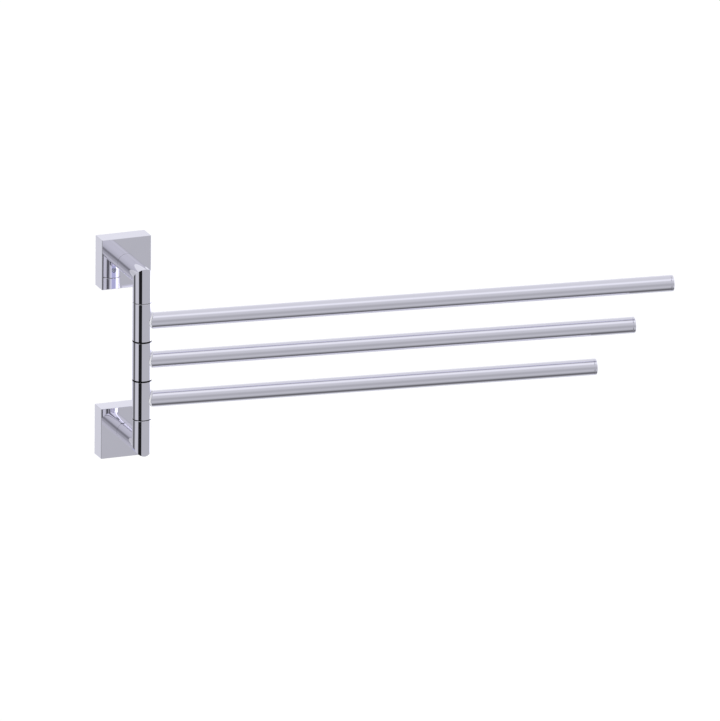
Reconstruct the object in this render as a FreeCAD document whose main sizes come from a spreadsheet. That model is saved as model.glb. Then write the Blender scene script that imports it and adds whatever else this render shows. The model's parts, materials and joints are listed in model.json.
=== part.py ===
import FreeCAD, Part
import math
import os
import re
import Sketcher

# Swing arm towel bar: a round post stands off the wall on two mitred arms, each carried by a
# square rosette, and three round bars of stepped length turn about the post.
#
# Frame: the wall is the plane y = 0 and the object stands out towards -Y. X runs along the wall
# to the right, Z is up. The origin is on the wall, midway between the two rosettes.

Vector = FreeCAD.Vector
Rotation = FreeCAD.Rotation

# ---- driving dimensions, in millimetres and degrees ------------------------------------------

SIZES = {
    # square rosettes and the folded brackets that they hide
    "rosette_side": 51.5,
    "rosette_depth": 18.5,
    "rosette_wall": 2.5,
    "rosette_front": 3.0,
    "rosette_edge": 0.5,
    "cavity_corner": 1.5,
    "rosette_spacing": 174.5,
    "bracket_width": 38.0,
    "bracket_sheet": 2.0,
    "bracket_lip": 9.5,
    "bracket_bend": 1.0,
    "bracket_drop": 1.0,
    "wall_hole_radius": 2.5,
    "wall_hole_spacing": 24.0,
    # post: mitred arms, spindle and the joints along it
    "post_diameter": 19.0,
    "post_reach": 63.0,
    "hub_pitch": 40.4,
    "hub_lift": 0.35,
    "washer_thickness": 1.4,
    "top_shim": 0.75,
    "bottom_shim": 0.8,
    "shim_inset": 0.2,
    "joint_edge": 0.15,
    "spindle_diameter": 8.0,
    "spindle_seat": 22.0,
    "spindle_end_gap": 0.5,
    "spindle_flat": 0.5,
    "bush_wall": 2.0,
    "bush_length": 10.0,
    "hub_bore_gap": 0.5,
    # swinging bars
    "bar_diameter": 16.0,
    "tube_wall": 1.2,
    "long_bar_end": 538.4,
    "bar_step": 38.8,
    "collar_length": 21.0,
    "collar_gap": 0.05,
    "neck_diameter": 8.4,
    "root_washer": 1.1,
    "root_washer_inset": 0.2,
    "saddle_gap": 1.4,
    "saddle_edge": 0.25,
    "cap_thickness": 2.7,
    "cap_spigot": 8.0,
    "cap_edge": 0.7,
    "cap_seam": 0.35,
    "swing_angle": 6.4,
    # screws
    "stud_diameter": 6.0,
    "stud_tip_gap": 1.2,
    "stud_depth": 14.8,
    "arm_screw_diameter": 6.0,
    "arm_screw_grip": 15.0,
    "arm_screw_head": 10.0,
    "arm_screw_head_height": 5.0,
    "arm_screw_key": 5.0,
    "arm_washer_diameter": 12.5,
    "arm_washer_thickness": 1.2,
    "arm_screw_hole_gap": 0.3,
    "tap_runout": 3.0,
    "spindle_grub_diameter": 5.0,
    "spindle_grub_height": 8.0,
    "spindle_grub_key": 2.5,
    "rosette_grub_diameter": 4.0,
    "rosette_grub_key": 2.0,
    "grub_recess": 0.4,
    "grub_socket": 1.6,
    "screw_edge": 0.4,
    # clearances: threads and spigots, turning fit on the spindle, end play at each joint face
    "thread_gap": 0.05,
    "spigot_gap": 0.05,
    "turning_gap": 0.05,
    "face_play": 0.03,
}

# ---- sizes worked out from them, as formulas for the sheet -----------------------------------

POST_RADIUS = "(post_diameter / 2)"
BAR_RADIUS = "(bar_diameter / 2)"
SPINDLE_RADIUS = "(spindle_diameter / 2)"
BORE_RADIUS = f"({SPINDLE_RADIUS} + turning_gap)"
BUSH_RADIUS = f"({BORE_RADIUS} + bush_wall)"
SPIGOT_RADIUS = f"({BAR_RADIUS} - tube_wall - spigot_gap)"
STUD_RADIUS = "(stud_diameter / 2)"

HALF_HUB = "(hub_pitch / 2 - washer_thickness / 2 - face_play)"
HUB_STACK = f"(hub_pitch + {HALF_HUB} + face_play)"
UPPER_JOINT = f"({HUB_STACK} + hub_lift + top_shim + face_play)"
LOWER_JOINT = f"({HUB_STACK} - hub_lift + bottom_shim + face_play)"

CAVITY_HALF = "(rosette_side / 2 - rosette_wall)"
BRACKET_BOTTOM = f"({CAVITY_HALF} - bracket_drop)"
LIP_MIDDLE = "((bracket_sheet + bracket_lip) / 2)"

SADDLE_STOCK = f"({POST_RADIUS} / 2)"
ROOT_SEAT = f"({POST_RADIUS} + collar_gap)"
ROOT_FACE = f"({ROOT_SEAT} + root_washer)"
TAP_DEPTH = "(arm_screw_grip + tap_runout)"

# node prefix, height of the hub along the post in pitches, bar steps shorter than the longest
ARMS = (("long", 1, 0), ("middle", 0, 1), ("short", -1, 2))

doc = FreeCAD.newDocument("swing_arm_towel_bar")
sheet = doc.addObject("Spreadsheet::Sheet", "Sizes")
for row, (alias, size) in enumerate(SIZES.items(), start=1):
    sheet.set(f"A{row}", alias)
    sheet.set(f"B{row}", str(size))
    sheet.setAlias(f"B{row}", alias)
doc.recompute()


# ---- working with the sheet ------------------------------------------------------------------

def bound(formula):
    """A formula in sheet names, as an expression that any object of the document can hold."""
    return re.sub(r"[a-z]+(?:_[a-z]+)+", r"Sizes.\g<0>", formula)


def number(formula):
    """The present value of a formula."""
    return float(sheet.evalExpression(formula))


def drive(item, path, formula):
    item.setExpression(path, bound(formula))


# ---- bodies, sketches and features -----------------------------------------------------------

def new_body(label, y="0", z="0", turn_axis=None, turn="0"):
    """A body placed at x = 0 and the given y and z, turned about one of its own axes."""
    body = doc.addObject("PartDesign::Body", label)
    body.Label = label
    if turn_axis:
        body.Placement = FreeCAD.Placement(Vector(), Rotation(turn_axis, 1))
        drive(body, "Placement.Rotation.Angle", turn)
    drive(body, "Placement.Base.y", y)
    drive(body, "Placement.Base.z", z)
    return body


def new_sketch(body, name, plane, offset="0"):
    """A sketch on one of the body's origin planes, moved along its normal by offset."""
    sketch = body.newObject("Sketcher::SketchObject", name)
    support = next(item for item in body.Origin.OriginFeatures if item.Role == plane)
    sketch.AttachmentSupport = [(support, "")]
    sketch.MapMode = "FlatFace"
    if offset != "0":
        drive(sketch, "AttachmentOffset.Base.z", offset)
    return sketch


def pin(sketch, curve, point, u, v):
    """Hold a sketch point at (u, v) from the sketch's origin."""
    for kind, axis, formula in (("DistanceX", -2, u), ("DistanceY", -1, v)):
        if formula == "0":
            sketch.addConstraint(Sketcher.Constraint("PointOnObject", curve, point, axis))
        else:
            held = Sketcher.Constraint(kind, curve, point, number(formula))
            drive(sketch, f"Constraints[{sketch.addConstraint(held)}]", formula)


def draw_outline(sketch, corners, closed=True):
    """Straight lines through corners, each given as two formulas."""
    points = [Vector(number(u), number(v), 0) for u, v in corners]
    first = sketch.GeometryCount
    lines = len(corners) if closed else len(corners) - 1
    for i in range(lines):
        ends = points[i], points[(i + 1) % len(points)]
        sketch.addGeometry(Part.LineSegment(*ends), False)
    for i in range(lines - (0 if closed else 1)):
        joined = first + i, 2, first + (i + 1) % lines, 1
        sketch.addConstraint(Sketcher.Constraint("Coincident", *joined))
    for i, (u, v) in enumerate(corners):
        line, end = (i, 1) if i < lines else (i - 1, 2)
        pin(sketch, first + line, end, u, v)


def draw_box(sketch, low, high):
    """A rectangle between two corners."""
    (u0, v0), (u1, v1) = low, high
    draw_outline(sketch, [(u0, v0), (u1, v0), (u1, v1), (u0, v1)])


def draw_circle(sketch, radius, u="0", v="0"):
    centre = Vector(number(u), number(v), 0)
    curve = sketch.addGeometry(Part.Circle(centre, Vector(0, 0, 1), number(radius)), False)
    pin(sketch, curve, 3, u, v)
    held = Sketcher.Constraint("Radius", curve, number(radius))
    drive(sketch, f"Constraints[{sketch.addConstraint(held)}]", radius)


def draw_hexagon(sketch, across_flats, u="0", v="0"):
    """A key socket's outline."""
    corners = []
    for i in range(6):
        angle = math.radians(60 * i)
        reach_u = round(math.cos(angle) / math.sqrt(3), 6)
        reach_v = round(math.sin(angle) / math.sqrt(3), 6)
        corners.append((f"{u} + {reach_u} * {across_flats}", f"{v} + {reach_v} * {across_flats}"))
    draw_outline(sketch, corners)


def add_pad(body, sketch, length, both_ways=False):
    pad = body.newObject("PartDesign::Pad", "Pad")
    pad.Profile = sketch
    pad.Midplane = both_ways
    drive(pad, "Length", length)
    sketch.Visibility = False
    return pad


def add_pocket(body, sketch, depth, along_normal=False, both_ways=False):
    """A cut against the sketch's normal, along it, or half of the depth each way."""
    pocket = body.newObject("PartDesign::Pocket", "Pocket")
    pocket.Profile = sketch
    pocket.Reversed = along_normal
    pocket.Midplane = both_ways
    drive(pocket, "Length", depth)
    doc.recompute()
    if not pocket.Shape.Volume < pocket.BaseFeature.Shape.Volume:
        raise RuntimeError(f"a cut in {body.Label} removes nothing")
    return pocket


def add_revolution(body, sketch, axis):
    turned = body.newObject("PartDesign::Revolution", "Revolution")
    turned.Profile = sketch
    turned.ReferenceAxis = (sketch, [axis])
    turned.Angle = 360
    return turned


def turned_along_z(body, name, corners):
    """A solid of revolution about Z from (radius, z) corners."""
    sketch = new_sketch(body, name, "XZ_Plane")
    draw_outline(sketch, corners)
    return add_revolution(body, sketch, "V_Axis")


def turned_along_x(body, name, corners):
    """A solid of revolution about X from (x, radius) corners."""
    sketch = new_sketch(body, name, "XY_Plane")
    draw_outline(sketch, corners)
    return add_revolution(body, sketch, "H_Axis")


def turned_along_y(body, name, corners):
    """A solid of revolution about Y from (y, radius) corners."""
    sketch = new_sketch(body, name, "YZ_Plane")
    draw_outline(sketch, corners)
    return add_revolution(body, sketch, "H_Axis")


def add_fillet(body, base, radius, wanted):
    """Round the edges of base that the wanted test picks."""
    doc.recompute()
    names = [f"Edge{i}" for i, edge in enumerate(base.Shape.Edges, start=1) if wanted(edge)]
    fillet = body.newObject("PartDesign::Fillet", "Fillet")
    fillet.Base = (base, names)
    drive(fillet, "Radius", radius)
    return fillet


def add_chamfer(body, base, size, wanted):
    """Bevel the edges of base that the wanted test picks."""
    doc.recompute()
    names = [f"Edge{i}" for i, edge in enumerate(base.Shape.Edges, start=1) if wanted(edge)]
    chamfer = body.newObject("PartDesign::Chamfer", "Chamfer")
    chamfer.Base = (base, names)
    drive(chamfer, "Size", size)
    return chamfer


def runs_along(edge, axis):
    """True for a straight edge parallel to the axis."""
    if not isinstance(edge.Curve, Part.Line):
        return False
    return abs(abs(edge.Curve.Direction.dot(axis)) - 1) < 1e-6


def at_y(edge, y):
    return abs(edge.CenterOfMass.y - y) < 1e-4


# ---- fixed pieces at the wall ----------------------------------------------------------------

def build_bracket(label, z):
    """Folded steel bracket: two lips stand off a plate with two wall screw holes."""
    body = new_body(label, z=z)
    profile = new_sketch(body, "Fold", "YZ_Plane")
    back, web, lip = "0", "-bracket_sheet", "-bracket_lip"
    top, under_top = CAVITY_HALF, f"{CAVITY_HALF} - bracket_sheet"
    bottom, over_bottom = f"-{BRACKET_BOTTOM}", f"-{BRACKET_BOTTOM} + bracket_sheet"
    draw_outline(profile, [(back, bottom), (back, top), (lip, top), (lip, under_top),
                           (web, under_top), (web, over_bottom), (lip, over_bottom), (lip, bottom)])
    folded = add_pad(body, profile, "bracket_width", both_ways=True)
    sheet_gauge = number("bracket_sheet")

    def outer_bend(edge):
        return runs_along(edge, Vector(1, 0, 0)) and at_y(edge, 0)

    def inner_bend(edge):
        return runs_along(edge, Vector(1, 0, 0)) and at_y(edge, -sheet_gauge)

    bent = add_fillet(body, folded, "bracket_bend + bracket_sheet", outer_bend)
    add_fillet(body, bent, "bracket_bend", inner_bend)
    holes = new_sketch(body, "WallHoles", "XZ_Plane")
    for side in ("-", ""):
        draw_circle(holes, "wall_hole_radius", u=f"{side}wall_hole_spacing / 2")
    add_pocket(body, holes, "3 * bracket_sheet", both_ways=True)


def build_rosette(label, z):
    """Square shell, open at the wall, with a screw hole in front and a tapped one below."""
    body = new_body(label, z=z)
    outside = new_sketch(body, "Outside", "XZ_Plane")
    half = "rosette_side / 2"
    draw_box(outside, (f"-{half}", f"-{half}"), (half, half))
    block = add_pad(body, outside, "rosette_depth")
    eased = add_fillet(body, block, "rosette_edge", lambda edge: not at_y(edge, 0))

    hollow = new_sketch(body, "Hollow", "XZ_Plane")
    draw_box(hollow, (f"-{CAVITY_HALF}", f"-{CAVITY_HALF}"), (CAVITY_HALF, CAVITY_HALF))
    shell = add_pocket(body, hollow, "rosette_depth - rosette_front", along_normal=True)
    inner = number(CAVITY_HALF)

    def cavity_corner(edge):
        centre = edge.CenterOfMass
        in_corner = abs(abs(centre.x) - inner) < 1e-4 and abs(abs(centre.z) - inner) < 1e-4
        return in_corner and runs_along(edge, Vector(0, 1, 0))

    add_fillet(body, shell, "cavity_corner", cavity_corner)
    screw_hole = new_sketch(body, "ScrewHole", "XZ_Plane")
    draw_circle(screw_hole, "arm_screw_diameter / 2 + arm_screw_hole_gap")
    add_pocket(body, screw_hole, "rosette_depth + rosette_front", along_normal=True)
    grub_hole = new_sketch(body, "GrubHole", "XY_Plane")
    draw_circle(grub_hole, "rosette_grub_diameter / 2 + thread_gap", v=f"-{LIP_MIDDLE}")
    add_pocket(body, grub_hole, "rosette_side")


def build_rosette_grub(label, z):
    """Grub screw through the underside of a rosette, bearing on the bracket's lower lip."""
    radius = "rosette_grub_diameter / 2"
    foot, tip = "-rosette_side / 2 + grub_recess", f"-{BRACKET_BOTTOM}"
    body = new_body(label, y=f"-{LIP_MIDDLE}", z=z)
    turned_along_z(body, "Rod", [("0", foot), (radius, foot), (radius, f"{tip} - screw_edge"),
                                 (f"{radius} - screw_edge", tip), ("0", tip)])
    socket = new_sketch(body, "Socket", "XY_Plane", offset=foot)
    draw_hexagon(socket, "rosette_grub_key")
    add_pocket(body, socket, "grub_socket", along_normal=True)


def build_arm_screw(label, z):
    """Socket screw from inside a rosette into the end of its arm."""
    radius, head = "arm_screw_diameter / 2", "arm_screw_head / 2"
    seat = "-rosette_depth + rosette_front + arm_washer_thickness"
    tip = "-rosette_depth - arm_screw_grip"
    back = f"{seat} + arm_screw_head_height"
    body = new_body(label, z=z)
    turned_along_y(body, "Screw", [
        (back, "0"), (back, f"{head} - screw_edge"), (f"{back} - screw_edge", head), (seat, head),
        (seat, radius), (f"{tip} + screw_edge", radius), (tip, f"{radius} - screw_edge"), (tip, "0")])
    socket = new_sketch(body, "Socket", "XZ_Plane", offset=f"-({back})")
    draw_hexagon(socket, "arm_screw_key")
    add_pocket(body, socket, "arm_screw_head_height / 2", along_normal=True)


def build_arm_washer(label, z):
    """Plain washer under the arm screw's head."""
    body = new_body(label, z=z)
    head_side = "rosette_depth - rosette_front - arm_washer_thickness"
    ring = new_sketch(body, "Ring", "XZ_Plane", offset=head_side)
    draw_circle(ring, "arm_washer_diameter / 2")
    draw_circle(ring, "arm_screw_diameter / 2 + arm_screw_hole_gap")
    add_pad(body, ring, "arm_washer_thickness")


# ---- the post --------------------------------------------------------------------------------

def build_elbow(label, z, joint_height, turn):
    """Arm and fixed end of the post: two round lengths meeting in a sharp 45 degree mitre.

    The upper elbow hangs down from its arm. The lower one is the same shape turned over about Y.
    """
    drop = f"(rosette_spacing / 2 - {joint_height})"
    body = new_body(label, z=z, turn_axis=Vector(0, 1, 0), turn=turn)
    path = new_sketch(body, "CentreLine", "YZ_Plane")
    draw_outline(path, [("-rosette_depth", "0"), ("-post_reach", "0"), ("-post_reach", f"-{drop}")],
                 closed=False)
    section = new_sketch(body, "Section", "XZ_Plane", offset="rosette_depth")
    draw_circle(section, POST_RADIUS)
    doc.recompute()
    swept = body.newObject("PartDesign::AdditivePipe", "Mitred")
    swept.Profile = section
    swept.Spine = (path, ["Edge1", "Edge2"])
    swept.Transition = "Right corner"
    foot = -number(drop)

    def joint_rim(edge):
        return isinstance(edge.Curve, Part.Circle) and abs(edge.CenterOfMass.z - foot) < 1e-4

    doc.recompute()
    rims = [f"Edge{i}" for i, edge in enumerate(swept.Shape.Edges, start=1) if joint_rim(edge)]
    chamfer = body.newObject("PartDesign::Chamfer", "JointEdge")
    chamfer.Base = (swept, rims)
    drive(chamfer, "Size", "joint_edge")

    seat = new_sketch(body, "SpindleSeat", "XY_Plane", offset=f"-{drop}")
    draw_circle(seat, BORE_RADIUS, v="-post_reach")
    add_pocket(body, seat, "spindle_seat + spindle_end_gap", along_normal=True)
    tap = new_sketch(body, "ArmTap", "XZ_Plane", offset="rosette_depth")
    draw_circle(tap, "arm_screw_diameter / 2 + thread_gap")
    add_pocket(body, tap, TAP_DEPTH, along_normal=True)
    grub = new_sketch(body, "GrubTap", "XZ_Plane", offset="post_reach")
    draw_circle(grub, "spindle_grub_diameter / 2 + thread_gap", v=f"-{drop} + spindle_grub_height")
    add_pocket(body, grub, "post_diameter")


def build_spindle():
    """Steel rod on which the hubs turn, with a flat for each grub screw."""
    radius = SPINDLE_RADIUS
    top, bottom = f"{UPPER_JOINT} + spindle_seat", f"-{LOWER_JOINT} - spindle_seat"
    body = new_body("spindle", y="-post_reach")
    turned_along_z(body, "Rod", [
        ("0", bottom), (f"{radius} - screw_edge", bottom), (radius, f"{bottom} + screw_edge"),
        (radius, f"{top} - screw_edge"), (f"{radius} - screw_edge", top), ("0", top)])
    flats = new_sketch(body, "Flats", "YZ_Plane")
    for height in (f"{UPPER_JOINT} + spindle_grub_height", f"-{LOWER_JOINT} - spindle_grub_height"):
        draw_box(flats, (f"{radius} - spindle_flat", f"{height} - spindle_grub_diameter"),
                 (f"{radius} + spindle_flat", f"{height} + spindle_grub_diameter"))
    add_pocket(body, flats, "2 * spindle_diameter", both_ways=True)


def build_spindle_grub(label, z):
    """Grub screw from the wall side of the post, bearing on the spindle's flat."""
    radius = "spindle_grub_diameter / 2"
    tip = f"{SPINDLE_RADIUS} - spindle_flat"
    head = f"{POST_RADIUS} - grub_recess"
    body = new_body(label, y="-post_reach", z=z)
    turned_along_y(body, "Rod", [(tip, "0"), (tip, f"{radius} - screw_edge"),
                                 (f"{tip} + screw_edge", radius), (head, radius), (head, "0")])
    socket = new_sketch(body, "Socket", "XZ_Plane", offset=f"-({head})")
    draw_hexagon(socket, "spindle_grub_key")
    add_pocket(body, socket, "grub_socket", along_normal=True)


def build_washer(label, z, radius, thickness):
    """Flat ring on the spindle, z being the height of its lower face."""
    body = new_body(label, y="-post_reach", z=z)
    ring = new_sketch(body, "Ring", "XY_Plane")
    draw_circle(ring, radius)
    draw_circle(ring, BORE_RADIUS)
    add_pad(body, ring, thickness)


# ---- a swinging arm --------------------------------------------------------------------------

def arm_body(label, level, lift="0"):
    """A body in the arm's own frame: Z up the post's axis, X along the bar.

    The hubs and their bushes are lifted, so that the bar's axis lies just below mid-hub.
    """
    return new_body(label, y="-post_reach", z=f"{level} * hub_pitch + {lift}",
                    turn_axis=Vector(0, 0, -1), turn="swing_angle")


def build_hub(prefix, level):
    """Turned hub, counterbored at both ends for its bushes and tapped for the bar's stud."""
    body = arm_body(f"{prefix}_arm_hub", level, lift="hub_lift")
    bore = f"{SPINDLE_RADIUS} + hub_bore_gap"
    seat, shoulder = f"{BUSH_RADIUS} + spigot_gap", f"{HALF_HUB} - bush_length"
    rim, edge = f"{POST_RADIUS} - joint_edge", f"{HALF_HUB} - joint_edge"
    lower = [(bore, f"-({shoulder})"), (seat, f"-({shoulder})"), (seat, f"-{HALF_HUB}"),
             (rim, f"-{HALF_HUB}"), (POST_RADIUS, f"-({edge})")]
    upper = [(POST_RADIUS, edge), (rim, HALF_HUB), (seat, HALF_HUB), (seat, shoulder),
             (bore, shoulder)]
    turned_along_z(body, "Profile", lower + upper)
    tap = new_sketch(body, "StudTap", "YZ_Plane")
    draw_circle(tap, f"{STUD_RADIUS} + thread_gap", v="-hub_lift")
    add_pocket(body, tap, "post_diameter", along_normal=True)


def build_bush(prefix, level, name, low_end):
    """Plastic bush in one end of the hub, low_end being the height of its lower face."""
    body = arm_body(f"{prefix}_arm_{name}_bush", level, lift="hub_lift")
    ring = new_sketch(body, "Ring", "XY_Plane", offset=low_end)
    draw_circle(ring, BUSH_RADIUS)
    draw_circle(ring, BORE_RADIUS)
    add_pad(body, ring, "bush_length")


def build_stud(prefix, level):
    """Threaded stud that ties the bar's collar to the hub."""
    body = arm_body(f"{prefix}_arm_stud", level)
    start, end = f"{SPINDLE_RADIUS} + stud_tip_gap", f"{POST_RADIUS} + stud_depth"
    turned_along_x(body, "Rod", [
        (start, "0"), (start, f"{STUD_RADIUS} - screw_edge"), (f"{start} + screw_edge", STUD_RADIUS),
        (f"{end} - screw_edge", STUD_RADIUS), (end, f"{STUD_RADIUS} - screw_edge"), (end, "0")])


def cut_saddle(body, name, radius):
    """Shape the root of a bar's sub-part to a cylinder about the post's axis."""
    saddle = new_sketch(body, name, "XY_Plane")
    draw_circle(saddle, radius)
    return add_pocket(body, saddle, "2 * bar_diameter", both_ways=True)


def build_collar(prefix, level):
    """Tapped collar inside the root of the bar, with a neck seated on the hub."""
    body = arm_body(f"{prefix}_arm_collar", level)
    tap, neck = f"{STUD_RADIUS} + thread_gap", "neck_diameter / 2"
    end = f"{POST_RADIUS} + collar_length"
    turned_along_x(body, "Profile", [
        (SADDLE_STOCK, tap), (SADDLE_STOCK, SPIGOT_RADIUS), (end, SPIGOT_RADIUS), (end, tap)])
    cut_saddle(body, "Saddle", f"{ROOT_FACE} + collar_gap")
    turned_along_x(body, "Neck", [
        (SADDLE_STOCK, tap), (SADDLE_STOCK, neck), (f"{POST_RADIUS} + {neck}", neck),
        (f"{POST_RADIUS} + {neck}", tap)])
    cut_saddle(body, "Seat", ROOT_SEAT)


def build_root_washer(prefix, level):
    """Saddle-shaped plastic washer around the neck, between the hub and the collar."""
    body = arm_body(f"{prefix}_arm_root_washer", level)
    bore, rim = "neck_diameter / 2 + thread_gap", f"{BAR_RADIUS} - root_washer_inset"
    turned_along_x(body, "Profile", [
        (SADDLE_STOCK, bore), (SADDLE_STOCK, rim), (f"{ROOT_FACE} + 1", rim),
        (f"{ROOT_FACE} + 1", bore)])
    cut_saddle(body, "Seat", ROOT_SEAT)
    face = new_sketch(body, "Face", "XY_Plane")
    draw_circle(face, ROOT_FACE)
    draw_circle(face, f"{ROOT_FACE} + post_diameter")
    add_pocket(body, face, "2 * bar_diameter", both_ways=True)


def build_tube(prefix, level, bar_end):
    """Bar tube from its saddled root to the end cap, its far edge broken for the cap's seam."""
    body = arm_body(f"{prefix}_arm_tube", level)
    far, inside = f"({bar_end} - cap_thickness)", f"{BAR_RADIUS} - tube_wall"
    turned_along_x(body, "Profile", [
        (SADDLE_STOCK, inside), (SADDLE_STOCK, BAR_RADIUS), (f"{far} - cap_seam", BAR_RADIUS),
        (far, f"{BAR_RADIUS} - cap_seam"), (far, inside)])
    cut = cut_saddle(body, "Saddle", f"{POST_RADIUS} + saddle_gap")
    radius, reach = number(BAR_RADIUS), number("post_diameter")

    def root(edge):
        points = edge.discretize(5)
        return all(p.x < reach and abs(math.hypot(p.y, p.z) - radius) < 1e-3 for p in points)

    add_chamfer(body, cut, "saddle_edge", root)


def build_end_cap(prefix, level, bar_end):
    """Flush cap with a rounded rim and a spigot inside the tube."""
    body = arm_body(f"{prefix}_arm_end_cap", level)
    seat = f"{bar_end} - cap_thickness"
    inner = f"{seat} - cap_spigot"
    solid = turned_along_x(body, "Profile", [
        (inner, "0"), (inner, SPIGOT_RADIUS), (seat, SPIGOT_RADIUS),
        (seat, f"{BAR_RADIUS} - cap_seam"), (f"{seat} + cap_seam", BAR_RADIUS),
        (bar_end, BAR_RADIUS), (bar_end, "0")])
    tip = number(bar_end)

    def rim(edge):
        return isinstance(edge.Curve, Part.Circle) and abs(edge.CenterOfMass.x - tip) < 1e-4

    add_fillet(body, solid, "cap_edge", rim)


def build_arm(prefix, level, steps):
    bar_end = f"(long_bar_end - {steps} * bar_step)"
    build_hub(prefix, level)
    build_bush(prefix, level, "upper", f"{HALF_HUB} - bush_length")
    build_bush(prefix, level, "lower", f"-{HALF_HUB}")
    build_stud(prefix, level)
    build_collar(prefix, level)
    build_root_washer(prefix, level)
    build_tube(prefix, level, bar_end)
    build_end_cap(prefix, level, bar_end)


# ---- assembly --------------------------------------------------------------------------------

def build_fixed():
    for side, sign in (("upper", ""), ("lower", "-")):
        centre = f"{sign}rosette_spacing / 2"
        joint = UPPER_JOINT if side == "upper" else LOWER_JOINT
        build_bracket(f"{side}_wall_bracket", centre)
        build_rosette(f"{side}_rosette", centre)
        build_rosette_grub(f"{side}_rosette_grub_screw", centre)
        build_arm_screw(f"{side}_arm_screw", centre)
        build_arm_washer(f"{side}_arm_screw_washer", centre)
        build_elbow(f"{side}_elbow", centre, joint, "0" if side == "upper" else "180")
        build_spindle_grub(f"{side}_spindle_grub_screw", f"{sign}({joint} + spindle_grub_height)")
    build_spindle()
    shim_radius = f"{POST_RADIUS} - shim_inset"
    half_washer = "washer_thickness / 2"
    build_washer("top_shim_washer", f"{HUB_STACK} + hub_lift + face_play / 2", shim_radius,
                 "top_shim")
    build_washer("upper_bearing_washer", f"hub_lift + hub_pitch / 2 - {half_washer}", POST_RADIUS,
                 "washer_thickness")
    build_washer("lower_bearing_washer", f"hub_lift - hub_pitch / 2 - {half_washer}", POST_RADIUS,
                 "washer_thickness")
    build_washer("bottom_shim_washer", f"hub_lift - {HUB_STACK} - face_play / 2 - bottom_shim",
                 shim_radius, "bottom_shim")


def export_nodes():
    """Write each sub-part to its own file once every object and shape is sound."""
    doc.recompute()
    failed = [item.Name for item in doc.Objects if {"Invalid", "Error"} & set(item.State)]
    bodies = [item for item in doc.Objects if item.TypeId == "PartDesign::Body"]
    failed += [body.Label for body in bodies if body.Shape.isNull() or not body.Shape.isValid()]
    if failed:
        raise RuntimeError("not sound: " + ", ".join(failed))
    os.makedirs("parts", exist_ok=True)
    for body in bodies:
        body.Shape.exportStep(f"parts/{body.Label}.step")


build_fixed()
for prefix, level, steps in ARMS:
    build_arm(prefix, level, steps)
export_nodes()
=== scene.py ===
import json
import math

import bmesh
import bpy
from mathutils import Matrix, Vector


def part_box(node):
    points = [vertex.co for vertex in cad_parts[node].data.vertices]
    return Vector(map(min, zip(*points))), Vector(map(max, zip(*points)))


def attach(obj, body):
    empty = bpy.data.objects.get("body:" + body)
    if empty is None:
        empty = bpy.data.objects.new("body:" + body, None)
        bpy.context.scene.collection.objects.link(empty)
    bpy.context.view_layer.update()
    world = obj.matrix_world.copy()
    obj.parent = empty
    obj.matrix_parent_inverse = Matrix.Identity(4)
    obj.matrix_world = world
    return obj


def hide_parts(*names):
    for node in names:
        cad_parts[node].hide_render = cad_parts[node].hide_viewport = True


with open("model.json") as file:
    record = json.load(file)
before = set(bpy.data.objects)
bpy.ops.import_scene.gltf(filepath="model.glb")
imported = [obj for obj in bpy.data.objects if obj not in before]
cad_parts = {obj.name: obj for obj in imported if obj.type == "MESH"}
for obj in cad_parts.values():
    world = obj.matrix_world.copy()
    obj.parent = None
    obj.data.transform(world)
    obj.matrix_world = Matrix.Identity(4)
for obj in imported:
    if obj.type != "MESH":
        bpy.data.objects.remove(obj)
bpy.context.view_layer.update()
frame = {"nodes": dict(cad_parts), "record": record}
nodes = frame["nodes"]

# --- camera ---------------------------------------------------------------------------------------
AZIMUTH, ELEVATION, ROLL = math.radians(20.5), math.radians(17.95), math.radians(0.3)
PX_PER_M = 1016.0
IMAGE_W, IMAGE_H = 720, 721
ORIGIN_PX = (119.6, 341.7)      # where the frame's origin falls in the picture
CAMERA_DISTANCE = 1.6
CLIP_NEAR, CLIP_FAR = 0.05, 60

right = Vector((math.cos(AZIMUTH), -math.sin(AZIMUTH), 0))
look = Vector((math.sin(AZIMUTH) * math.cos(ELEVATION), math.cos(AZIMUTH) * math.cos(ELEVATION),
               -math.sin(ELEVATION)))
up = right.cross(look)
rolled_right = right * math.cos(ROLL) + up * math.sin(ROLL)
rolled_up = up * math.cos(ROLL) - right * math.sin(ROLL)
centre = (rolled_right * ((IMAGE_W / 2 - ORIGIN_PX[0]) / PX_PER_M)
          + rolled_up * ((ORIGIN_PX[1] - IMAGE_H / 2) / PX_PER_M))
camera_data = bpy.data.cameras.new("camera")
camera_data.type = "ORTHO"
camera_data.ortho_scale = max(IMAGE_W, IMAGE_H) / PX_PER_M
camera_data.clip_start, camera_data.clip_end = CLIP_NEAR, CLIP_FAR
camera = bpy.data.objects.new("camera", camera_data)
bpy.context.scene.collection.objects.link(camera)
camera.matrix_world = Matrix.Translation(centre - look * CAMERA_DISTANCE) @ Matrix(
    (rolled_right, rolled_up, -look)).transposed().to_4x4()
bpy.context.scene.camera = camera
bpy.context.scene.view_settings.view_transform = "Standard"


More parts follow.
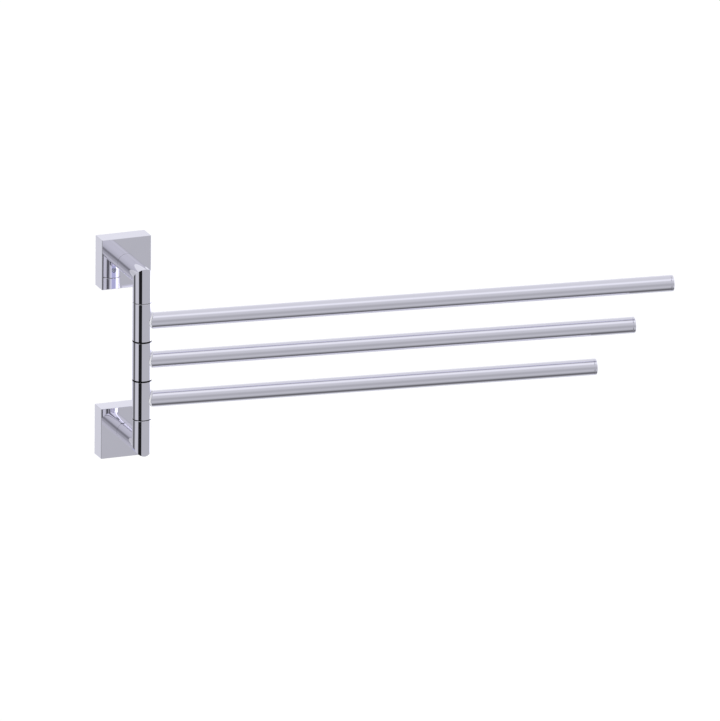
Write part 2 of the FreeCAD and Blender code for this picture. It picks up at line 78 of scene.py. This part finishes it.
# --- node helpers ---------------------------------------------------------------------------------
class Net:
    """A short way to wire a node tree."""

    def __init__(self, tree):
        self.tree = tree
        tree.nodes.clear()

    def node(self, kind, inputs=(), **props):
        node = self.tree.nodes.new(kind)
        for key, value in props.items():
            setattr(node, key, value)
        for key, value in dict(inputs).items():
            self.put(node.inputs[key], value)
        return node

    def put(self, socket, value):
        """Links a socket or sets it. A single number fills every channel."""
        if isinstance(value, bpy.types.NodeSocket):
            self.tree.links.new(value, socket)
        elif hasattr(socket.default_value, "__len__") and not hasattr(value, "__len__"):
            socket.default_value = [value] * len(socket.default_value)
        else:
            socket.default_value = value

    def math(self, operation, a, b=0.0, c=0.0):
        inputs = {0: a, 1: b, 2: c}
        return self.node("ShaderNodeMath", inputs, operation=operation).outputs[0]

    def product(self, result, *factors):
        for factor in factors:
            result = self.math("MULTIPLY", result, factor)
        return result

    def dot(self, a, b):
        node = self.node("ShaderNodeVectorMath", {0: a, 1: b}, operation="DOT_PRODUCT")
        return node.outputs["Value"]

    def scale(self, vector, factor):
        inputs = {0: vector, 3: factor}
        return self.node("ShaderNodeVectorMath", inputs, operation="SCALE").outputs[0]

    def smooth(self, value, low, high, out_low=0.0, out_high=1.0):
        """A smooth step, from out_low where the value is low to out_high where it is high."""
        inputs = {"Value": value, "From Min": low, "From Max": high, "To Min": out_low,
                  "To Max": out_high}
        node = self.node("ShaderNodeMapRange", inputs, interpolation_type="SMOOTHSTEP")
        return node.outputs["Result"]

    def band(self, value, one_edge, other_edge):
        """1 between two soft edges, 0 outside them. An edge is (where it is 0, where it is 1)."""
        return self.product(self.smooth(value, *one_edge), self.smooth(value, *other_edge))

    def ramp(self, value, stops):
        node = self.node("ShaderNodeValToRGB", {"Fac": value})
        elements = node.color_ramp.elements
        while len(elements) > 1:
            elements.remove(elements[-1])
        for i, (position, colour) in enumerate(stops):
            element = elements[0] if i == 0 else elements.new(position)
            element.position = position
            element.color = (*colour, 1) if hasattr(colour, "__len__") else (*[colour] * 3, 1)
        return node.outputs["Color"]

    def mix(self, share, a, b, kind="RGBA"):
        node = self.node("ShaderNodeMix", data_type=kind)
        a_socket, b_socket, result = {"RGBA": (6, 7, 2), "FLOAT": (2, 3, 0)}[kind]
        self.put(node.inputs[0], share)
        self.put(node.inputs[a_socket], (*a, 1) if isinstance(a, tuple) else a)
        self.put(node.inputs[b_socket], (*b, 1) if isinstance(b, tuple) else b)
        return node.outputs[result]


# --- studio ---------------------------------------------------------------------------------------
# The room that the chrome mirrors. Heights go from -1, straight down, to 1, straight up. Headings
# are degrees to the right of the camera's side, as seen from the object. An edge is a pair: where
# something starts to fade in, and where it is there in full.
CAMERA_SIDE = Vector((-math.sin(AZIMUTH), -math.cos(AZIMUTH), 0))
# Brightness of the walls by height, in front of the object and behind it.
FRONT_LEVELS = ((-1, .205), (-.97, .165), (-.945, .115), (-.89, .19), (-.81, .35), (-.72, .465),
                (-.62, .52), (-.5, .535), (-.28, .465), (-.05, .425), (.08, .445), (.32, .54),
                (.43, .58), (.62, .59), (.71, .65), (.79, .75), (.86, .87), (.91, .895),
                (.945, .79), (.97, .7), (1, .68))
REAR_LEVELS = ((-1, .205), (-.97, .22), (-.95, .39), (-.88, .63), (-.5, .8), (.09, .87),
               (.47, .76), (.68, .705), (.9, .685), (1, .66))
REAR_WALLS_RIGHT, REAR_WALLS_LEFT = (106, 118), (-120, -156)
# Two stretches of the front walls that are a little brighter.
LEFT_WASH_HEADING, LEFT_WASH_EDGE, LEFT_WASH_GAIN = -63, (32, 12), .24
RIGHT_WASH_EDGE, RIGHT_WASH_HEIGHTS, RIGHT_WASH_GAIN = (32, 43), ((-.12, .04), (.44, .28)), .17
# Two dark flags that reach nearly from floor to ceiling. The right edge of the one in front bows
# to the right towards the floor, with the cube of the depth below eye level.
FLAG_ENDS = (.97, .80)
FRONT_FLAG_LEFT, FRONT_FLAG_DEPTH = (-43, -37), .972
FRONT_FLAG_RIGHT, FRONT_FLAG_BOW, FRONT_FLAG_LIMIT, FRONT_FLAG_BLUR = -6.45, 200.0, -0.7, 1.7
SIDE_FLAG, SIDE_FLAG_DEPTH = ((-134, -106), (-80, -102)), .86
# A lilac drape behind the object, below eye level; its headings count from straight behind.
DRAPE_HEADINGS, DRAPE_HEIGHTS = ((-26, -16), (34, 26)), ((-.12, -.2), (-.75, -.6))
DRAPE_DEPTH = .42
# A tall softbox at the right rear, whose far edge lies further round below eye level.
SOFTBOX, SOFTBOX_NEAR_EDGE, SOFTBOX_HEIGHTS = 1.52, (112, 120), ((.5, .4), (-.54, -.44))
SOFTBOX_STEP, SOFTBOX_FAR_ABOVE, SOFTBOX_FAR_BELOW, SOFTBOX_FAR_BLUR = (-.1, -.2), 142, 158, (0, -6)
# Colour of the whole room, and of its part that the drape covers.
STUDIO_TINT, DRAPE_TINT = (1.0, 1.006, 1.078), (.98, 1.0, 1.42)
# What the camera sees past the object, and what lights its dull surfaces.
BACKDROP, FILL_LIGHT = (1, 1, 1), (.92, .92, .93)
FLOOR_HALF, FLOOR_HEIGHT, FLOOR_GREY, FLOOR_GLOW = 30.0, -1.1, .9, .2


def studio_light(t, direction):
    """Brightness and tint of the studio in a direction."""
    z = t.dot(direction, (0, 0, 1))
    to_right, to_camera = t.dot(direction, right), t.dot(direction, CAMERA_SIDE)

    def heading_from(across, ahead):
        return t.product(t.math("ARCTAN2", across, ahead), math.degrees(1))

    heading = heading_from(to_right, to_camera)
    heading_behind = heading_from(t.product(to_right, -1.0), t.product(to_camera, -1.0))

    # walls
    level = t.math("MULTIPLY_ADD", z, 0.5, 0.5)
    front, rear = (t.ramp(level, [((height + 1) / 2, grey) for height, grey in levels])
                   for levels in (FRONT_LEVELS, REAR_LEVELS))
    from_left_wash = t.math("ABSOLUTE", t.math("SUBTRACT", heading, LEFT_WASH_HEADING))
    left_wash = t.smooth(from_left_wash, *LEFT_WASH_EDGE)
    right_wash = t.product(t.band(z, *RIGHT_WASH_HEIGHTS), t.smooth(heading, *RIGHT_WASH_EDGE))
    front = t.scale(front, t.product(t.math("MULTIPLY_ADD", left_wash, LEFT_WASH_GAIN, 1.0),
                                     t.math("MULTIPLY_ADD", right_wash, RIGHT_WASH_GAIN, 1.0)))
    behind = t.math("ADD", t.smooth(heading, *REAR_WALLS_RIGHT),
                    t.smooth(heading, *REAR_WALLS_LEFT))
    walls = t.node("ShaderNodeSeparateColor", {0: t.mix(behind, front, rear)}).outputs[0]

    # flags
    tall = t.smooth(t.math("ABSOLUTE", z), *FLAG_ENDS)

    def flag(across, depth):
        return t.math("MULTIPLY_ADD", t.product(across, tall), -depth, 1.0)

    below = t.math("MAXIMUM", t.product(z, -1.0), 0.0)
    bow = t.math("MULTIPLY_ADD", t.math("POWER", below, 3.0), FRONT_FLAG_BOW, FRONT_FLAG_RIGHT)
    past_edge = t.math("SUBTRACT", heading, t.math("MINIMUM", bow, FRONT_FLAG_LIMIT))
    front_flag = flag(t.product(t.smooth(heading, *FRONT_FLAG_LEFT),
                                t.smooth(past_edge, FRONT_FLAG_BLUR, -FRONT_FLAG_BLUR)),
                      FRONT_FLAG_DEPTH)
    side_flag = flag(t.band(heading, *SIDE_FLAG), SIDE_FLAG_DEPTH)

    # drape and softbox
    draped = t.product(t.band(heading_behind, *DRAPE_HEADINGS), t.band(z, *DRAPE_HEIGHTS))
    drape = t.math("MULTIPLY_ADD", draped, -DRAPE_DEPTH, 1.0)
    far_edge = t.smooth(z, *SOFTBOX_STEP, SOFTBOX_FAR_ABOVE, SOFTBOX_FAR_BELOW)
    box = t.product(t.smooth(heading, *SOFTBOX_NEAR_EDGE),
                    t.smooth(t.math("SUBTRACT", heading, far_edge), *SOFTBOX_FAR_BLUR),
                    t.band(z, *SOFTBOX_HEIGHTS))
    brightness = t.mix(box, t.product(walls, front_flag, side_flag, drape), SOFTBOX, kind="FLOAT")
    return brightness, t.mix(draped, STUDIO_TINT, DRAPE_TINT)


def mirrored(t):
    """The light path's outputs, and 1 for the rays that a mirror or glass sends on, else 0."""
    path = t.node("ShaderNodeLightPath").outputs
    return path, t.math("MAXIMUM", path["Is Glossy Ray"], path["Is Transmission Ray"])


def build_world():
    world = bpy.data.worlds.new("studio")
    bpy.context.scene.world = world
    world.use_nodes = True
    t = Net(world.node_tree)
    brightness, tint = studio_light(t, t.node("ShaderNodeTexCoord").outputs["Generated"])
    path, mirror = mirrored(t)
    plain = t.mix(path["Is Camera Ray"], FILL_LIGHT, BACKDROP)
    colour = t.mix(mirror, plain, t.scale(tint, brightness))
    out = t.node("ShaderNodeOutputWorld")
    t.put(out.inputs["Surface"], t.node("ShaderNodeBackground", {"Color": colour}).outputs[0])


build_world()


def build_floor():
    """A pale floor far below, which the chrome doesn't mirror."""
    mesh = bpy.data.meshes.new("floor")
    s, z = FLOOR_HALF, FLOOR_HEIGHT
    mesh.from_pydata([(-s, -s, z), (s, -s, z), (s, s, z), (-s, s, z)], [], [(0, 1, 2, 3)])
    floor = bpy.data.objects.new("floor", mesh)
    bpy.context.scene.collection.objects.link(floor)
    material = bpy.data.materials.new("pale floor")
    material.use_nodes = True
    t = Net(material.node_tree)
    path, mirror = mirrored(t)
    paint = t.node("ShaderNodeBsdfDiffuse", {"Color": (*[FLOOR_GREY] * 3, 1)}).outputs[0]
    glow = t.node("ShaderNodeEmission", {
        "Color": (1, 1, 1, 1), "Strength": t.product(path["Is Camera Ray"], FLOOR_GLOW)}).outputs[0]
    lit = t.node("ShaderNodeAddShader", {0: paint, 1: glow}).outputs[0]
    clear = t.node("ShaderNodeBsdfTransparent").outputs[0]
    seen = t.node("ShaderNodeMixShader", {0: mirror, 1: lit, 2: clear})
    out = t.node("ShaderNodeOutputMaterial")
    t.put(out.inputs["Surface"], seen.outputs[0])
    mesh.materials.append(material)


build_floor()

# --- materials ------------------------------------------------------------------------------------
NOISE_LOW, NOISE_HIGH = .3, .7      # nearly all of a noise's values lie between these
# A thin line of painted shade on the elbows where they meet the rosette plate: the soft edge and
# grey of that line.
SHADE_LINE_EDGE = (.0001, .0004)
SHADE_LINE_GREY = (.35, .345, .37)


def material(name):
    m = bpy.data.materials.new(name)
    m.use_nodes = True
    t = Net(m.node_tree)
    shader = t.node("ShaderNodeBsdfPrincipled")
    out = t.node("ShaderNodeOutputMaterial")
    t.put(out.inputs["Surface"], shader.outputs[0])
    place = t.node("ShaderNodeTexCoord").outputs["Object"]
    return m, t, shader, place


def noise(t, place, scale, detail):
    inputs = {"Vector": place, "Scale": scale, "Detail": detail}
    return t.node("ShaderNodeTexNoise", inputs).outputs["Fac"]


def shades(t, grain, dark, light):
    return t.ramp(grain, [(NOISE_LOW, dark), (NOISE_HIGH, light)])


def chrome(name, shade_line_at=None):
    """Polished chrome; if asked, with a thin line of painted shade at a distance from the wall,
    where the elbow meets the rosette plate.
    """
    m, t, shader, place = material(name)
    plate = shades(t, noise(t, place, scale=60, detail=4), (.915, .905, .966), (.927, .917, .979))
    # Painted shade: the plating turns dull grey in a thin band at the joint with the plate,
    # standing in for the shadow there.
    if shade_line_at is not None:
        off = t.math("ABSOLUTE", t.math("ADD", t.dot(place, (0, 1, 0)), shade_line_at))
        plate = t.mix(t.smooth(off, *SHADE_LINE_EDGE), SHADE_LINE_GREY, plate)
    polish = noise(t, place, scale=240, detail=5)
    t.put(shader.inputs["Metallic"], 1.0)
    t.put(shader.inputs["Base Color"], plate)
    t.put(shader.inputs["Roughness"], t.smooth(polish, NOISE_LOW, NOISE_HIGH, .018, .035))
    return m


def grainy(name, dark, light, rough, scale, detail, metallic=1.0, shine=.5):
    """A dull surface, whose colour and roughness follow one fine noise."""
    m, t, shader, place = material(name)
    grain = noise(t, place, scale, detail)
    t.put(shader.inputs["Metallic"], metallic)
    t.put(shader.inputs["Specular IOR Level"], shine)
    t.put(shader.inputs["Base Color"], shades(t, grain, dark, light))
    t.put(shader.inputs["Roughness"], t.smooth(grain, NOISE_LOW, NOISE_HIGH, *rough))
    return m


MATERIALS = {
    "chrome": chrome("polished chrome"),
    "zinc_steel": grainy("zinc plated steel", (.56, .58, .62), (.70, .72, .75), (.26, .42),
                         scale=420, detail=6),
    "steel_screw": grainy("zinc plated screw", (.594, .612, .639), (.66, .68, .71), (.18, .30),
                          scale=900, detail=5),
    "steel_rod": grainy("ground steel rod", (.414, .405, .405), (.46, .45, .45), (.18, .30),
                        scale=900, detail=5),
    "black_nylon": grainy("black nylon", (.002, .002, .0025), (.005, .005, .006), (.45, .58),
                          scale=1400, detail=4, metallic=0.0, shine=.1),
    "white_acetal": grainy("white acetal", (.90, .90, .94), (.94, .94, .98), (.30, .43),
                           scale=1400, detail=4, metallic=0.0),
}
for node in nodes.values():
    slot = node.material_slots[0].material.name.split(".")[0]
    node.material_slots[0].material = MATERIALS[slot]
PLATE_FACE = -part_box("upper_rosette")[0][1]
elbow_chrome = chrome("elbow chrome with painted joint shade", shade_line_at=PLATE_FACE)
for side in ("upper", "lower"):
    nodes[f"{side}_elbow"].material_slots[0].material = elbow_chrome

# --- screws, studs and washers --------------------------------------------------------------------
TO_ROOM, UPWARDS = (0, -1, 0), (0, 0, 1)
POINTS = 48            # around a screw: a multiple of 12 puts points on a hexagon's corners
ANGLES = [math.tau * j / POINTS for j in range(POINTS)]
THREAD_DEPTH = .6134   # of the pitch
KNURL_DEPTH = .00013
HEAD_EDGE = .0004
STUD_LENGTH = .0191
WELD = 1e-7            # points closer than this become one
SHARP = math.radians(28)


def circle(radius, height):
    return [(radius * math.cos(a), radius * math.sin(a), height) for a in ANGLES]


def outline(reach, height):
    return [(r * math.cos(a), r * math.sin(a), height) for r, a in zip(reach, ANGLES)]


def hexagon(key, height):
    sixth = math.radians(60)
    return outline([key / 2 / math.cos(a % sixth - sixth / 2) for a in ANGLES], height)


def knurl(radius, height):
    return outline([radius - KNURL_DEPTH * (j % 2) for j in range(POINTS)], height)


def skin(mesh, rows, lead=0):
    """Faces between rows of points that run round the Z axis; one turn climbs by lead rows."""
    verts = [[mesh.verts.new(p) for p in row] for row in rows]
    for i in range(len(rows) - 1 - lead):
        for j in range(POINTS):
            far, climb = (j + 1, 0) if j + 1 < POINTS else (0, lead)
            mesh.faces.new((verts[i][j], verts[i + climb][far], verts[i + 1 + climb][far],
                            verts[i + 1][j]))


def thread(mesh, radius, pitch, start, end):
    """A single-start thread with both ends chamfered to its core. Returns the core's radius."""
    core = radius - THREAD_DEPTH * pitch
    profile = ((0, core), (.25, core), (.5625, radius), (.6875, radius))    # share of the pitch
    rows = []
    for turn in range(-1, math.ceil((end - start) / pitch) + 1):
        for share, reach in profile:
            row = []
            for j, a in enumerate(ANGLES):
                z = min(max(start + (turn + share + j / POINTS) * pitch, start), end)
                r = min(reach, core + z - start, core + end - z)
                row.append((r * math.cos(a), r * math.sin(a), z))
            rows.append(row)
    skin(mesh, rows, lead=len(profile))
    return core


def socket(key, depth, rim):
    """Rows of a hexagon socket with a drill point below it and a small countersink, to a rim."""
    corner = key / math.sqrt(3)
    drill, drill_point = key * .46, key * .25
    sink, sink_depth = corner * 1.06, corner * .1
    return [circle(0, depth + drill_point), circle(drill, depth), hexagon(key, depth),
            hexagon(key, sink_depth), circle(sink, 0), circle(rim, 0)]


def add_piece(name, node, mesh, origin, axis):
    """Turns a mesh built along +Z onto an axis and lets it stand for a CAD node."""
    bmesh.ops.remove_doubles(mesh, verts=mesh.verts, dist=WELD)
    bmesh.ops.dissolve_degenerate(mesh, edges=mesh.edges, dist=WELD)
    bmesh.ops.recalc_face_normals(mesh, faces=mesh.faces)
    turn = Vector((0, 0, 1)).rotation_difference(Vector(axis)).to_matrix().to_4x4()
    mesh.transform(Matrix.Translation(origin) @ turn)
    data = bpy.data.meshes.new(name)
    mesh.to_mesh(data)
    mesh.free()
    data.shade_smooth()
    data.set_sharp_from_angle(angle=SHARP)
    data.materials.append(MATERIALS["steel_screw"])
    piece = bpy.data.objects.new(name, data)
    bpy.context.scene.collection.objects.link(piece)
    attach(piece, next(b for b, held in frame["record"]["behaviour"]["bodies"].items()
                        if node in held))
    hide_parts(node)


def span(node, axis):
    """Where a node starts along an axis, and how long it is."""
    low, high = (Vector(c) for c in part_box(node))
    middle, axis = (low + high) / 2, Vector(axis)
    length = abs((high - low).dot(axis))
    return middle - axis * length / 2, length


def cap_screw(name, node, axis, radius, pitch, head, head_height, key):
    origin, length = span(node, axis)
    edge = HEAD_EDGE
    mesh = bmesh.new()
    core = thread(mesh, radius, pitch, head_height, length)
    skin(mesh, socket(key, head_height / 2, head - edge) + [
        circle(head - edge * .3, edge * .3), knurl(head, edge),
        knurl(head, head_height - edge * 1.6),
        circle(head - edge * .6, head_height - edge * 1.2), circle(head - edge * .8, head_height),
        circle(core, head_height)])
    skin(mesh, [circle(core, length), circle(core * .8, length), circle(0, length)])
    add_piece(name, node, mesh, origin, axis)


def set_screw(name, node, axis, radius, pitch, key, depth):
    """Headless screw with a socket at one end and a cup point at the other."""
    origin, length = span(node, axis)
    mesh = bmesh.new()
    core = thread(mesh, radius, pitch, 0, length)
    skin(mesh, socket(key, depth, core))
    cup = core * .62
    skin(mesh, [circle(core, length), circle(cup, length), circle(cup * .5, length - cup * .4),
                circle(0, length - cup * .45)])
    add_piece(name, node, mesh, origin, axis)


def stud(name, node, radius, pitch, length):
    """Threaded rod straight out from the post's axis, with a centre hole at each end."""
    middle, post = (sum((Vector(c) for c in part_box(n)), Vector()) / 2 for n in (node, "spindle"))
    axis = Vector((middle.x - post.x, middle.y - post.y, 0)).normalized()
    origin = middle - axis * length / 2
    mesh = bmesh.new()
    core = thread(mesh, radius, pitch, 0, length)
    hole, hole_depth = core * .3, core * .17
    for height, inward in ((0, 1), (length, -1)):
        skin(mesh, [circle(core, height), circle(hole, height),
                    circle(0, height + inward * hole_depth)])
    add_piece(name, node, mesh, origin, axis)


def flat_washer(name, node, axis, bore, rim):
    """Stamped washer: rounded on the side it was struck from, with a sharper rim behind."""
    origin, thick = span(node, axis)
    roll, burr = thick * .28, thick * .08
    mesh = bmesh.new()
    rows = [circle(bore, roll), circle(bore + roll * .3, roll * .3), circle(bore + roll, 0),
            circle(rim - roll, 0), circle(rim - roll * .3, roll * .3), circle(rim, roll),
            circle(rim, thick - burr), circle(rim - burr, thick), circle(bore + burr, thick),
            circle(bore, thick - burr)]
    skin(mesh, rows + rows[:1])
    add_piece(name, node, mesh, origin, axis)


for side in ("upper", "lower"):
    cap_screw(f"{side}_socket_cap_screw", f"{side}_arm_screw", TO_ROOM,
              radius=.003, pitch=.001, head=.005, head_height=.005, key=.005)
    flat_washer(f"{side}_flat_washer", f"{side}_arm_screw_washer", TO_ROOM,
                bore=.0033, rim=.00625)
    set_screw(f"{side}_spindle_set_screw", f"{side}_spindle_grub_screw", TO_ROOM,
              radius=.0025, pitch=.0008, key=.0025, depth=.0016)
    set_screw(f"{side}_rosette_set_screw", f"{side}_rosette_grub_screw", UPWARDS,
              radius=.002, pitch=.0007, key=.002, depth=.0016)
for arm in ("long", "middle", "short"):
    stud(f"{arm}_threaded_stud", f"{arm}_arm_stud", radius=.003, pitch=.001, length=STUD_LENGTH)
